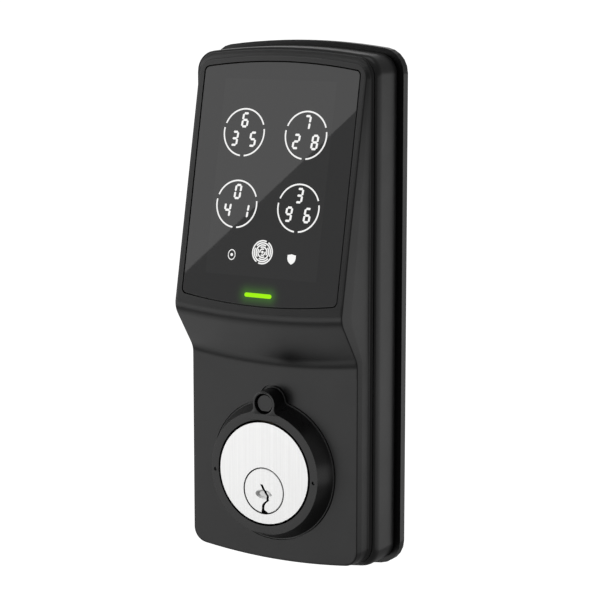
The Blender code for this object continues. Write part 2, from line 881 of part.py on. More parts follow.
coil(
    "button_spring", along_y(0.0, SEAT_Y - GAP, LUG_Z), STEM_R + GAP + 0.35,
    SEAT_Y - BUTTON_BACK - 2 * GAP, 3, 0.14, PLATED_STEEL,
)


# ---- Key cylinder ----
CYL_BACK = PLATE_FRONT - GAP
PLUG_BORE_R = PLUG_R + PLUG_TURN_GAP
SHEAR = PLUG_R
PIN_ROOM = CYL_BACK - CYL_FACE - PIN_FIRST - CHAMBER_R - CHAMBER_END
PIN_PITCH = PIN_ROOM / (PIN_COUNT - 1)
PIN_Y = [CYL_FACE + PIN_FIRST + PIN_PITCH * i for i in range(PIN_COUNT)]
DRIVER_Z = PLUG_Z + PLUG_BORE_R + 0.15
SPRING_Z = DRIVER_Z + DRIVER_L + GAP
COVER_Z = SPRING_Z + SPRING_L + GAP
COVER_T = 1.0
OFF_SEAM = Matrix.Rotation(math.radians(5.0), 4, "Z")
COVER_W = 2 * CHAMBER_R + 1.6
COVER_FRONT = PIN_Y[0] - CHAMBER_R - 1.0
COVER_BACK = PIN_Y[-1] + CHAMBER_R + 0.2
PLUG_NECK_R = 5.0
CLIP_T = 0.9
CLIP_Y = CYL_BACK + GAP + 0.2
PLUG_END = 3.4


def build_cylinder():
    body = cone(
        "cylinder_body", 0.0, CYL_Z, CYL_FACE, CYL_BACK, CYL_R, CYL_R, SATIN_NICKEL, FINE
    )
    bore = cone(
        "plug_bore", 0.0, PLUG_Z, CYL_FACE - 2.0, CYL_BACK + 2.0, PLUG_BORE_R, PLUG_BORE_R
    )
    cut(body, bore)
    top = COVER_Z - GAP
    for n, y in enumerate(PIN_Y):
        chamber = turned(
            f"body_chamber_{n}",
            [(0.0, top + 0.5), (CHAMBER_R, top + 0.5), (CHAMBER_R, PLUG_Z), (0.0, PLUG_Z)],
            upright(0.0, y, 0.0) @ OFF_SEAM, None, SMALL,
        )
        cut(body, chamber)
    slot = prism(
        "cover_slot",
        [box_loop(0.0, top + 10.0, COVER_W, 20.0)],
        COVER_FRONT - GAP, COVER_BACK + GAP,
    )
    cut(body, slot)
    for n, side in enumerate((-1, 1)):
        drill = cone(
            f"cylinder_drill_{n}", side * CYL_SCREW_X, CYL_SCREW_Z, CYL_BACK - 7.0,
            CYL_BACK + 2.0, SCREW_R + GAP, SCREW_R + GAP, steps=SMALL,
        )
        cut(body, drill)
    smooth(body)
    return body


build_cylinder()
prism(
    "spring_cover",
    [box_loop(0.0, COVER_Z + COVER_T / 2, COVER_W - 2 * GAP, COVER_T)],
    COVER_FRONT, COVER_BACK, BRASS,
)


def pin_stack(n, y):
    length = KEY_PIN_L[n]
    top = PLUG_Z + SHEAR - 0.2
    key_pin = turned(
        f"key_pin_{n + 1}",
        [(0.0, 0.0), (PIN_R, 0.0), (PIN_R, 0.9 - length), (0.35, -length), (0.0, -length)],
        upright(0.0, y, top), BRASS, SMALL,
    )
    driver = turned(
        f"driver_pin_{n + 1}",
        [(0.0, DRIVER_L), (PIN_R, DRIVER_L), (PIN_R, 0.0), (0.0, 0.0)],
        upright(0.0, y, DRIVER_Z), BRASS, SMALL,
    )
    coil(
        f"driver_spring_{n + 1}", upright(0.0, y, SPRING_Z), PIN_R - 0.2, SPRING_L, 4,
        SPRING_WIRE_R, PLATED_STEEL, 8,
    )
    for pin in (key_pin, driver):
        smooth(pin)
    return key_pin


KEY_PINS = [pin_stack(n, y) for n, y in enumerate(PIN_Y)]


# ---- Turning plug with the tailpiece that drives the bolt ----
def build_plug():
    plug = turned(
        "key_plug",
        [
            (0.0, 0.0),
            (PLUG_R - 0.15, 0.0),
            (PLUG_R, -0.15),
            (PLUG_R, CYL_FACE - CYL_BACK - 0.1),
            (PLUG_NECK_R, CYL_FACE - CYL_BACK - 0.1),
            (PLUG_NECK_R, CYL_FACE - CLIP_Y),
            (PLUG_NECK_R - 0.7, CYL_FACE - CLIP_Y),
            (PLUG_NECK_R - 0.7, CYL_FACE - CLIP_Y - CLIP_T - 2 * GAP),
            (PLUG_NECK_R, CYL_FACE - CLIP_Y - CLIP_T - 2 * GAP),
            (PLUG_NECK_R, CYL_FACE - PLUG_END),
            (0.0, CYL_FACE - PLUG_END),
        ],
        along_y(0.0, CYL_FACE, PLUG_Z), SATIN_NICKEL, ROUND,
    )
    half = 0.4
    spine = (
        (-0.72, 1.8),
        (-0.1, 0.65),
        (0.45, -0.68),
        (1.15, -1.5),
        (1.35, -2.6),
        (0.45, -3.3),
        (-0.1, -4.0),
        (-0.2, -5.3),
    )
    right = [(x + half, z + PLUG_Z) for x, z in spine]
    left = [(x - half, z + PLUG_Z) for x, z in reversed(spine)]
    mouth = [(1.3, PLUG_Z - 5.95), (1.3, PLUG_Z - 7.4), (-0.75, PLUG_Z - 7.4)]
    mouth.append((-0.75, PLUG_Z - 5.95))
    keyway = prism("keyway", [right + mouth + left], CYL_FACE - 2.0, CYL_BACK - 1.2)
    dish = turned(
        "keyway_dish",
        [(0.0, 1.0), (2.65, 1.0), (2.65, 0.0), (1.6, -0.45), (0.0, -0.45)],
        along_y(0.0, CYL_FACE, PLUG_Z - 0.95) @ Matrix.Diagonal((1.0, 0.5, 1.0, 1.0)),
        None, 32,
    )
    cut(plug, keyway, dish)
    for n, y in enumerate(PIN_Y):
        low = PLUG_Z + SHEAR - 0.2 - KEY_PIN_L[n] - GAP
        low = min(low, PLUG_Z + 1.6)
        chamber = turned(
            f"plug_chamber_{n}",
            [(0.0, PLUG_Z + 9.0), (CHAMBER_R, PLUG_Z + 9.0), (CHAMBER_R, low), (0.0, low)],
            upright(0.0, y, 0.0) @ OFF_SEAM, None, SMALL,
        )
        cut(plug, chamber)
    slot = prism(
        "tail_slot",
        [box_loop(0.0, PLUG_Z, TAIL_W + 2 * GAP, TAIL_T + 2 * GAP)],
        PLUG_END - 4.0, PLUG_END + 2.0,
    )
    pin_hole = cone(
        "tail_pin_hole", 0.0, 0.0, -PLUG_NECK_R - 2.0, PLUG_NECK_R + 2.0, 0.9, 0.9,
        steps=16,
    )
    turn = Matrix.Rotation(math.pi / 2, 4, "X")
    place = Matrix.Translation(Vector((0.0, PLUG_END - 1.6, PLUG_Z)) * MM)
    pin_hole.data.transform(place @ turn)
    cut(plug, slot, pin_hole)
    smooth(plug)
    return plug


PLUG = build_plug()
clip = prism(
    "plug_clip", [open_ring(PLUG_Z, PLUG_NECK_R - 0.4, CLIP_R, -90, 24)],
    CLIP_Y + GAP, CLIP_Y + GAP + CLIP_T, PLATED_STEEL,
)
smooth(clip)
tail = prism(
    "tailpiece",
    [box_loop(0.0, PLUG_Z, TAIL_W, TAIL_T)],
    PLUG_END - 4.0 + GAP, TAIL_L, PLATED_STEEL,
)
tail_hole = cone("tail_hole", 0.0, 0.0, -6.0, 6.0, 0.9, 0.9, steps=16)
tail_place = Matrix.Translation(Vector((0.0, PLUG_END - 1.6, PLUG_Z)) * MM)
tail_place = tail_place @ Matrix.Rotation(math.pi / 2, 4, "X")
tail_hole.data.transform(tail_place)
cut(tail, tail_hole)
tail_pin = cone(
    "tailpiece_pin", 0.0, 0.0, -PLUG_NECK_R + 0.3, PLUG_NECK_R - 0.3, 0.6, 0.6,
    PLATED_STEEL, 16,
)
tail_pin.data.transform(tail_place)
smooth(tail_pin)

axis = bpy.data.objects.new("plug_axis", None)
axis.location = Vector((0.0, CYL_FACE, PLUG_Z)) * MM
LOCK.objects.link(axis)
for piece in [PLUG, clip, tail, tail_pin] + KEY_PINS:
    piece.parent = axis
    piece.matrix_parent_inverse = Matrix.Translation(-axis.location)


# ---- Boards inside the head ----
BOARD_FRONT = WEB_FRONT - 3.0 - BOARD_T
BOARD_BOTTOM = CYL_Z + CYL_R + 2.2
BOARD_TOP = HALF_H - 13.0
BOARD_HALF_W = HALF_W - 13.6
BOARD_SCREWS = ((BOARD_HALF_W - 3.0, BOARD_TOP - 3.5), (3.0 - BOARD_HALF_W, BOARD_TOP - 3.5))


def build_board():
    loop = box_loop(
        0.0, (BOARD_BOTTOM + BOARD_TOP) / 2, 2 * BOARD_HALF_W, BOARD_TOP - BOARD_BOTTOM, 2.0
    )
    holes = [circle(x, z, 1.2 + GAP, SMALL) for x, z in BOARD_SCREWS]
    board = prism(
        "main_board", [loop] + holes, BOARD_FRONT, BOARD_FRONT + BOARD_T, BOARD
    )
    return board


build_board()
CHIP_BACK = BOARD_FRONT - GAP
prism(
    "radio_module", [box_loop(-6.0, 18.0, 16.0, 14.0, 0.6)], CHIP_BACK - 2.0, CHIP_BACK,
    PLATED_STEEL,
)
prism("main_chip", [box_loop(7.0, 34.0, 9.0, 9.0)], CHIP_BACK - 1.2, CHIP_BACK, CHIP)
prism(
    "cable_socket",
    [box_loop(CABLE_X - 1.0, BOARD_BOTTOM + 12.5, 11.0, 5.5)],
    CHIP_BACK - 3.0, CHIP_BACK, PLASTIC,
)
buzzer = cone("buzzer", 8.5, 14.0, CHIP_BACK - 3.0, CHIP_BACK, 4.6, 4.6, CHIP, 28)
smooth(buzzer)
prism(
    "button_switch", [box_loop(0.0, LUG_Z, 5.6, 5.6, 0.5)],
    STEM_END + BUTTON_TRAVEL + GAP, CHIP_BACK, CHIP,
)


def screw(name, x, z, head_back, length, radius, head_r, head_t):
    """A pan-head screw driven from the back, with a slot in its head."""
    piece = turned(
        name,
        [
            (0.0, length),
            (radius - 0.3, length),
            (radius, length - 0.4),
            (radius, head_t),
            (head_r, head_t),
            (head_r, 0.25),
            (head_r - 0.25, 0.0),
            (0.0, 0.0),
        ],
        along_y(x, head_back, z), PLATED_STEEL, SMALL,
    )
    slot = prism(
        name + "_slot", [box_loop(x, z, head_r * 1.4, 0.6)], head_back - 0.5, head_back + 1
    )
    cut(piece, slot)
    smooth(piece)
    return piece


HEAD_BACK = -0.15
for n, (x, z) in enumerate(SCREW_SPOTS):
    reach = HEAD_BACK - (BODY_BACK - BOSS_DRILL) - GAP
    screw(f"housing_screw_{n + 1}", x, z, HEAD_BACK, reach, SCREW_R, SCREW_HEAD_R, SCREW_HEAD_T)
for n, side in enumerate((-1, 1)):
    screw(
        f"cylinder_screw_{n + 1}", side * CYL_SCREW_X, CYL_SCREW_Z, HEAD_BACK,
        HEAD_BACK - CYL_BACK + 6.5, SCREW_R, SCREW_HEAD_R, SCREW_HEAD_T,
    )
for n, (x, z) in enumerate(BOARD_SCREWS):
    turned(
        f"board_screw_{n + 1}",
        [
            (0.0, 1.5),
            (2.1, 1.5),
            (2.1, GAP),
            (1.2, GAP),
            (1.2, -BOARD_T - 2.4),
            (0.0, -BOARD_T - 2.4),
        ],
        along_y(x, BOARD_FRONT, z), PLATED_STEEL, SMALL,
    )
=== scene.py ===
"""Keypad smart lock, outside unit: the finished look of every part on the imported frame."""

import math

import bmesh
import bpy
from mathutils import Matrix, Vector, geometry


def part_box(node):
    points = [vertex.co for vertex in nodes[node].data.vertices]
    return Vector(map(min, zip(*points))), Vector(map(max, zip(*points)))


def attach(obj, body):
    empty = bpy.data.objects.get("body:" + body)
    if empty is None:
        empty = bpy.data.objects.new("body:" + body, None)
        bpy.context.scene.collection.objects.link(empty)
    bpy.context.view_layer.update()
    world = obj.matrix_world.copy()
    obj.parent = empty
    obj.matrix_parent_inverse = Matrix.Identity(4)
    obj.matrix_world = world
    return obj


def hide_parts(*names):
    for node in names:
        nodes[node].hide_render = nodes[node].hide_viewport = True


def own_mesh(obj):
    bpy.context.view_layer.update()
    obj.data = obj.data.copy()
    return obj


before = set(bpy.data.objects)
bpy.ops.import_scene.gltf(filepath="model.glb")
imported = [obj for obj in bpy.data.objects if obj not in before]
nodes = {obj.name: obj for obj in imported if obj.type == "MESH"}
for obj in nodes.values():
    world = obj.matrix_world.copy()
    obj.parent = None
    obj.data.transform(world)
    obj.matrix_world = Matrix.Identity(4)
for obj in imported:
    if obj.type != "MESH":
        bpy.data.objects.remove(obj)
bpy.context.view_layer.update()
MM = 0.001


# ---- Back plate ----
# A flat cast zinc plate with arched ends that the whole lock hangs on.
# Powder coated satin black, its edges broken all round. It lies against the door.
def new_material(name):
    """A material, its node tree and its Principled shader."""
    mat = bpy.data.materials.new(name)
    mat.use_nodes = True
    return mat, mat.node_tree, mat.node_tree.nodes["Principled BSDF"]


def own_place(net):
    """The point's place in its object's own axes."""
    return net.nodes.new("ShaderNodeTexCoord").outputs["Object"]


def noise(net, place, scale, detail):
    node = net.nodes.new("ShaderNodeTexNoise")
    node.inputs["Scale"].default_value = scale
    node.inputs["Detail"].default_value = detail
    net.links.new(place, node.inputs["Vector"])
    return node.outputs["Fac"]


def blend_colours(net, factor, first, second):
    """Goes from first to second as factor rises; each is a colour or another node's output."""
    mix = net.nodes.new("ShaderNodeMix")
    mix.data_type = "RGBA"
    for key, colour in (("A", first), ("B", second)):
        if isinstance(colour, bpy.types.NodeSocket):
            net.links.new(colour, mix.inputs[key])
        else:
            mix.inputs[key].default_value = (*colour, 1.0)
    net.links.new(factor, mix.inputs["Factor"])
    return mix.outputs["Result"]


def remap(net, value, to_min=0.0, to_max=1.0, from_min=0.0, from_max=1.0):
    node = net.nodes.new("ShaderNodeMapRange")
    node.inputs["From Min"].default_value = from_min
    node.inputs["From Max"].default_value = from_max
    node.inputs["To Min"].default_value = to_min
    node.inputs["To Max"].default_value = to_max
    net.links.new(value, node.inputs["Value"])
    return node.outputs["Result"]


def add_grain(net, shader, height, strength, depth):
    """Fine relief, its full height depth in metres."""
    bump = net.nodes.new("ShaderNodeBump")
    bump.inputs["Strength"].default_value = strength
    bump.inputs["Distance"].default_value = depth
    net.links.new(height, bump.inputs["Height"])
    net.links.new(bump.outputs["Normal"], shader.inputs["Normal"])


def shaded(colour, share):
    return [c * share for c in colour]


EDGE_WEAR_AND_HIGHLIGHT_R = 0.00035
GRAIN_DEPTH = 0.00005


def powder_coat(name, colour, rough, wear_and_edge_highlight=0.03, grain=0.05):
    """Satin powder coat: fine orange peel, faint uneven tone, edges painted a little lighter as
    rubbed wear and as a painted edge highlight.
    """
    mat, net, paint = new_material(name)
    place = own_place(net)
    tone = noise(net, place, 130.0, 6.0)
    base = blend_colours(net, tone, shaded(colour, 0.86), shaded(colour, 1.16))
    # Painted highlight: the edges are painted lighter, partly as rubbed wear and partly as the thin
    # light lines that light draws along them.
    edge = net.nodes.new("ShaderNodeBevel")
    edge.samples = 4
    edge.inputs["Radius"].default_value = EDGE_WEAR_AND_HIGHLIGHT_R
    true = net.nodes.new("ShaderNodeNewGeometry")
    dot = net.nodes.new("ShaderNodeVectorMath")
    dot.operation = "DOT_PRODUCT"
    net.links.new(edge.outputs["Normal"], dot.inputs[0])
    net.links.new(true.outputs["Normal"], dot.inputs[1])
    rub_and_highlight = remap(net, dot.outputs["Value"], from_min=0.985, from_max=0.86)
    edge_lit_base = blend_colours(net, rub_and_highlight, base, (wear_and_edge_highlight, wear_and_edge_highlight, wear_and_edge_highlight))
    net.links.new(edge_lit_base, paint.inputs["Base Color"])
    haze = remap(net, tone, rough - 0.05, rough + 0.05)
    net.links.new(haze, paint.inputs["Roughness"])
    add_grain(net, paint, noise(net, place, 3200.0, 3.0), grain, GRAIN_DEPTH)
    return mat


def soften_by_angle():
    """Smooth shading on every face, with the corners over 35 degrees kept crisp."""
    group = bpy.data.node_groups.new("crisp_corners", "GeometryNodeTree")
    group.interface.new_socket("Geometry", in_out="INPUT", socket_type="NodeSocketGeometry")
    group.interface.new_socket("Geometry", in_out="OUTPUT", socket_type="NodeSocketGeometry")
    start = group.nodes.new("NodeGroupInput")
    end = group.nodes.new("NodeGroupOutput")
    faces = group.nodes.new("GeometryNodeSetShadeSmooth")
    faces.domain = "FACE"
    corners = group.nodes.new("GeometryNodeSetShadeSmooth")
    corners.domain = "EDGE"
    corners.inputs["Shade Smooth"].default_value = False
    angle = group.nodes.new("GeometryNodeInputMeshEdgeAngle")
    over = group.nodes.new("FunctionNodeCompare")
    over.inputs["B"].default_value = math.radians(35.0)
    group.links.new(angle.outputs["Unsigned Angle"], over.inputs["A"])
    group.links.new(start.outputs["Geometry"], faces.inputs["Geometry"])
    group.links.new(faces.outputs["Geometry"], corners.inputs["Geometry"])
    group.links.new(over.outputs["Result"], corners.inputs["Selection"])
    group.links.new(corners.outputs["Geometry"], end.inputs["Geometry"])
    return group


CRISP = soften_by_angle()


def break_edges(obj, width):
    """Shades an object smoothly, and breaks its sharp edges by width, in millimetres."""
    shade = obj.modifiers.new("crisp_corners", "NODES")
    shade.node_group = CRISP
    if width:
        edge = obj.modifiers.new("broken_edges", "BEVEL")
        edge.width = width * MM
        edge.segments = 2
        edge.limit_method = "ANGLE"
        edge.angle_limit = math.radians(40.0)
    even = obj.modifiers.new("even_shading", "WEIGHTED_NORMAL")
    even.keep_sharp = True


def coat(names, mat, width=0.0):
    """Gives kept frame parts a finish, and breaks their sharp edges."""
    for name in names:
        for slot in nodes[name].material_slots:
            slot.link = "OBJECT"
            slot.material = mat
        if width:
            break_edges(nodes[name], width)


BLACK = (0.006, 0.006, 0.0062)
COAT_ROUGH = 0.32
coat(["back_plate"], powder_coat("plate_powder_coat", BLACK, COAT_ROUGH), 0.32)


# ---- Front housing ----
# One die-cast zinc shell. The display head leans out over the lower face and ends in a
# soft nose, a slanted neck runs back from it, and a thin flange goes all round the back.
ARC_R = 186.0
TILT = math.radians(11.47)
HEAD_Y = -14.55
HEAD_Z = 70.15
LOWER_Y = -19.85
CREASE_Z = -14.2
NECK_RUN = 1.416
FLANGE_Y = -14.2
HOUSING_BACK = -13.9
HOUSING_WALL = 2.2
HEAD_WALL = 3.3
FACE_EDGE = (26.9, 69.75, -70.4, 4.3)
BAND_EDGE = (27.22, 70.5, -70.6, 4.6)
SIDE_FOOT = (27.42, 71.1, -70.75, 5.0)
FLANGE = (28.15, 71.6, -71.1, 5.8)
HOLLOW = (25.1, 69.15, -68.35, 2.0)
EDGE_R = 0.32
CREASE_EASE = 1.2
NOSE_EASE = 1.9
CREASE_ROW = -12.5
NOSE_ROW = 1.0
SCREW_HOLE_R = 1.8
BOSS_R = 3.1


def spaced(a, b, count):
    return [a + (b - a) * i / count for i in range(count)]


SIDE_ROWS = spaced(-62.0, -16.5, 8) + spaced(-16.5, -9.0, 20) + spaced(-9.0, -2.0, 4)
SIDE_ROWS += spaced(-2.0, 5.0, 20) + spaced(5.0, 64.0, 9) + [64.0]


ARC_STEPS = 12


def arch_sides(half_w, top, bottom, corner, rows, bow=ARC_R):
    """The right side, top and bottom of an arched plate outline, split at its corners' middles."""

    def end(apex, sign):
        x_c = half_w - corner
        rise = math.sqrt((bow - corner) ** 2 - x_c**2)
        z_c = apex - sign * bow + sign * rise
        lean = math.atan2(x_c, rise)
        turn = []
        for i in range(9):
            a = (math.pi / 2 - lean) * i / 8
            turn.append((x_c + corner * math.cos(a), z_c + sign * corner * math.sin(a)))
        arc = []
        for i in range(1, 2 * ARC_STEPS):
            a = lean * (1 - i / ARC_STEPS)
            arc.append((bow * math.sin(a), apex - sign * bow * (1 - math.cos(a))))
        return turn, arc

    top_turn, top_arc = end(top, 1)
    low_turn, low_arc = end(bottom, -1)
    right = low_turn[4::-1] + [(half_w, z) for z in rows] + top_turn[:5]
    over = top_turn[4:] + top_arc + [(-x, z) for x, z in reversed(top_turn[4:])]
    under = low_turn[4:] + low_arc + [(-x, z) for x, z in reversed(low_turn[4:])]
    return right, over, under


def arch_loop(half_w, top, bottom, corner, rows=(), bow=ARC_R):
    right, over, under = arch_sides(half_w, top, bottom, corner, rows, bow)
    left = [(-x, z) for x, z in reversed(right)]
    return right + over[1:] + left[1:] + under[::-1][1:-1]


def soft_max(a, b, k):
    """The larger of two values, eased over a width k where they are close."""
    h = max(k - abs(a - b), 0.0) / k
    return max(a, b) + h * h * k / 4


def front_y(x, z, head_wall=0.0, wall=0.0):
    """Where the front surface, or the hollow behind it, lies at (x, z)."""
    head = HEAD_Y + head_wall / math.cos(TILT) + (z - HEAD_Z) * math.tan(TILT)
    crease = CREASE_Z + wall * 0.6 + ARC_R - math.sqrt(ARC_R**2 - x * x)
    lower = LOWER_Y + wall
    notch = -soft_max(-lower, -(lower - (z - crease) / NECK_RUN), CREASE_EASE)
    return soft_max(head, notch, NOSE_EASE)


def face_grid(outline, head_wall=0.0, wall=0.0):
    """Rows of points that follow the nose and the crease across the whole front."""
    right, over, under = arch_sides(*outline, SIDE_ROWS)
    z_low, z_high = right[0][1], right[-1][1]
    sag = outline[0] ** 2 / (2 * ARC_R)
    drop = [under[len(under) // 2][1] - z_low, over[len(over) // 2][1] - z_high]
    keys = [(0.0, 0.0)]
    for z in (CREASE_ROW, NOSE_ROW):
        v = (z - z_low) / (z_high - z_low)
        keys.append((v, -sag - drop[0] * (1 - v) - drop[1] * v))
    keys.append((1.0, 0.0))
    rows = []
    for x_side, z_side in right:
        v = (z_side - z_low) / (z_high - z_low)
        for (v0, d0), (v1, d1) in zip(keys, keys[1:]):
            if v0 <= v <= v1:
                dip = d0 + (d1 - d0) * (v - v0) / (v1 - v0)
        row = []
        for b, t in zip(under, over):
            u = (b[0] / under[0][0] + t[0] / over[0][0]) / 2
            x = b[0] * (1 - v) + t[0] * v
            x += u * (x_side - under[0][0] * (1 - v) - over[0][0] * v)
            z = b[1] * (1 - v) + t[1] * v + dip * (1 - u * u)
            row.append((x, z))
        rows.append(row)
    return [[(x, front_y(x, z, head_wall, wall), z) for x, z in row] for row in rows]


def bridge(work, ring, following):
    """Joins two closed rings of points with a band of faces."""
    for i in range(len(ring)):
        j = (i + 1) % len(ring)
        work.faces.new((ring[i], ring[j], following[j], following[i]))


def finished(name, work):
    """Makes an object of the faces built in work, all pointing out."""
    bmesh.ops.recalc_face_normals(work, faces=work.faces)
    mesh = bpy.data.meshes.new(name)
    work.to_mesh(mesh)
    work.free()
    obj = bpy.data.objects.new(name, mesh)
    bpy.context.scene.collection.objects.link(obj)
    return obj


def shell_form(name, face, levels, head_wall=0.0, wall=0.0):
    """A closed form: the gridded front, the sides through levels, and a flat back.

    Each level is an outline and a function that gives its Y from the front's Y.
    """
    work = bmesh.new()
    rows = face_grid(face, head_wall, wall)
    grid = [[work.verts.new(Vector(p) * MM) for p in row] for row in rows]
    for low, high in zip(grid, grid[1:]):
        for i in range(len(low) - 1):
            work.faces.new((low[i], high[i], high[i + 1], low[i + 1]))
    ring = [row[0] for row in grid] + grid[-1][1:]
    ring += [row[-1] for row in reversed(grid)][1:] + grid[0][::-1][1:-1]
    front = [v.co.y / MM for v in ring]
    for outline, depth in levels:
        loop = arch_loop(*outline, SIDE_ROWS)
        following = []
        for (x, z), y in zip(loop, front):
            following.append(work.verts.new(Vector((x, depth(y, z), z)) * MM))
        bridge(work, ring, following)
        ring = following
    work.faces.new(ring)
    return finished(name, work)


def between(a, b, t):
    return tuple(p + (q - p) * t for p, q in zip(a, b))


def inset(outline, by):
    half_w, top, bottom, corner = outline
    return (half_w - by, top - by, bottom + by, corner - by * 0.5)


def band_depth(z):
    """The side band is shallow on the lower body and at the top, and deepest at the nose."""
    if z < -14.0:
        return 2.0
    if z < 0.0:
        return 2.0 + 2.6 * (z + 14.0) / 14.0
    return 4.6 - 2.6 * z / 70.0


def room(y):
    return FLANGE_Y - y


def corner_step(fraction):
    return lambda y, z: y + min(EDGE_R * fraction, room(y) * 0.3 * fraction)


def cove_step(t):
    return lambda y, z: FLANGE_Y - min(0.6, 0.4 * room(y)) * (1 - t)


def housing_levels():
    levels = []
    for degrees in (30, 60, 90):
        a = math.radians(degrees)
        by = EDGE_R * (1 - math.sin(a))
        levels.append((inset(FACE_EDGE, by), corner_step(1 - math.cos(a))))
    for part, share in ((0.9, 0.9), (1.0, 1.06)):
        levels.append(
            (
                between(FACE_EDGE, BAND_EDGE, part),
                lambda y, z, s=share: y + min(band_depth(z), 0.5 * room(y)) * s,
            )
        )
    levels.append((SIDE_FOOT, cove_step(0.0)))
    rim = inset(FLANGE, 0.1)
    for i in (1, 2, 3, 4):
        a = math.pi / 2 * i / 4
        levels.append((between(SIDE_FOOT, rim, 1 - math.cos(a)), cove_step(math.sin(a))))
    levels.append((FLANGE, lambda y, z: FLANGE_Y + 0.1))
    levels.append((FLANGE, lambda y, z: HOUSING_BACK))
    return levels


def lean_to_head(x, s, h):
    """A point on the head: x across, s up the tilted face, h into it."""
    y = HEAD_Y + h * math.cos(TILT) + s * math.sin(TILT)
    return Vector((x, y, HEAD_Z - h * math.sin(TILT) + s * math.cos(TILT))) * MM


def straight_on(x, z, y):
    return Vector((x, y, z)) * MM


def block(name, loop, front, back, place=straight_on):
    """A closed block from a flat outline."""
    work = bmesh.new()
    near = [work.verts.new(place(x, z, front)) for x, z in loop]
    far = [work.verts.new(place(x, z, back)) for x, z in loop]
    work.faces.new(near)
    work.faces.new(far)
    bridge(work, near, far)
    return finished(name, work)


def round_loop(x, z, radius, steps=96):
    ring = []
    for i in range(steps):
        a = 2 * math.pi * i / steps
        ring.append((x + radius * math.cos(a), z + radius * math.sin(a)))
    return ring


def carve(obj, cutters):
    """Cuts the cutters out of obj and keeps the result as its mesh."""
    for cutter in cutters:
        step = obj.modifiers.new("cut", "BOOLEAN")
        step.operation = "DIFFERENCE"
        step.solver = "MANIFOLD"
        step.object = cutter
    graph = bpy.context.evaluated_depsgraph_get()
    mesh = bpy.data.meshes.new_from_object(obj.evaluated_get(graph))
    obj.modifiers.clear()
    obj.data = mesh
    for cutter in cutters:
        bpy.data.objects.remove(cutter, do_unlink=True)


GLASS = (24.75, -2.1, -68.85, 1.5)
GLASS_BOW = 158.0
WINDOW_S = -34.0
WINDOW = (17.8, 27.0)
BAR_S = -65.99
GLOW = 0.1
CYL_Z = (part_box("cylinder_body")[0].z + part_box("cylinder_body")[1].z) / 2 / MM
LUG_Z = CYL_Z + 19.55


def middle(node):
    low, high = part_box(node)
    return (low + high) / 2 / MM


def front_housing():
    shell = shell_form("housing_shell", inset(FACE_EDGE, EDGE_R), housing_levels())
    hollow = shell_form(
        "hollow", HOLLOW, [(HOLLOW, lambda y, z: 5.0)], HEAD_WALL, HOUSING_WALL
    )
    bosses = []
    drills = []
    for n in (1, 2, 3, 4):
        spot = middle(f"housing_screw_{n}")
        bosses.append(block("boss", round_loop(spot.x, spot.z, BOSS_R, 24), -40.0, 10.0))
        drills.append(block("drill", round_loop(spot.x, spot.z, SCREW_HOLE_R, 16), -17.5, 2.0))
    carve(hollow, bosses)
    pocket = block("pocket", arch_loop(*inset(GLASS, -0.3), (), GLASS_BOW), -5.0, 2.2, lean_to_head)
    window = block("window", arch_loop(*inset(GLASS, 2.0), (), GLASS_BOW), 0.5, 5.3, lean_to_head)
    seat = block("seat", round_loop(0.0, CYL_Z, 20.05), -24.0, LOWER_Y + 0.6)
    lug_seat = block("lug_seat", round_loop(0.0, LUG_Z, 4.65, 40), -24.0, LOWER_Y + 0.6)
    bore = block("bore", round_loop(0.0, CYL_Z, 18.2), -24.0, -10.0)
    stem = block("stem", round_loop(0.0, LUG_Z, 1.4, 20), -24.0, -14.0)
    carve(shell, [hollow, pocket, window, seat, lug_seat, bore, stem] + drills)
    break_edges(shell, 0.0)
    shell.data.materials.clear()
    shell.data.materials.append(powder_coat("housing_powder_coat", BLACK, COAT_ROUGH))
    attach(shell, "housing")
    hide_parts("front_housing")


front_housing()


# ---- Middle frame ----
# A deeper cast ring behind the front housing, with a web across it for the board.
# Same coating as the plate, its front edge well rounded. Long screws pull it in place.
MID = (29.3, 72.15, -72.15, 5.4)
MID_FRONT = -13.6
MID_BACK = -3.3


def middle_frame():
    steps = (
        (0.95, 0.0), (0.72, 0.1), (0.46, 0.32), (0.24, 0.7), (0.09, 1.3), (0.0, 2.2),
        (0.0, 10.02), (0.06, 10.2), (0.22, 10.3),
    )
    work = bmesh.new()
    rings = []
    for by, back in steps:
        half_w, top, bottom, corner = MID
        loop = arch_loop(half_w - by, top - by, bottom + by, corner + 0.8 * by)
        rings.append([work.verts.new(straight_on(x, z, MID_FRONT + back)) for x, z in loop])
    for ring, following in zip(rings, rings[1:]):
        bridge(work, ring, following)
    work.faces.new(rings[0])
    work.faces.new(rings[-1])
    ring_frame = finished("middle_frame", work)
    web_back = MID_BACK - 0.9
    web_front = web_back - 2.0
    cuts = [
        block("well", arch_loop(*inset(MID, 2.4)), -20.0, web_front),
        block("front_rabbet", arch_loop(*inset(MID, 1.2)), -20.0, MID_FRONT + 1.2),
        block("rear_rabbet", arch_loop(*inset(MID, 0.8)), web_back, 1.0),
        block("barrel_hole", round_loop(0.0, CYL_Z, 15.0), -20.0, 5.0),
    ]
    cable = middle("cable_grommet")
    slot = [(cable.x + x, cable.z + z) for x, z in ((8, 5), (-8, 5), (-8, -5), (8, -5))]
    cuts.append(block("cable_slot", slot, -20.0, 5.0))
    for n in (1, 2, 3, 4):
        spot = middle(f"housing_screw_{n}")
        cuts.append(block("screw_hole", round_loop(spot.x, spot.z, SCREW_HOLE_R, 16), -20.0, 5.0))
    for side in ("left", "right"):
        spot = middle(f"mounting_post_{side}")
        cuts.append(block("post_well", round_loop(spot.x, spot.z, 3.6, 24), web_back - 0.5, 5.0))
    carve(ring_frame, cuts)
    break_edges(ring_frame, 0.0)
    ring_frame.data.materials.clear()
    ring_frame.data.materials.append(powder_coat("frame_powder_coat", BLACK, COAT_ROUGH))
    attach(ring_frame, "housing")
    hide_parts("mid_frame")


middle_frame()


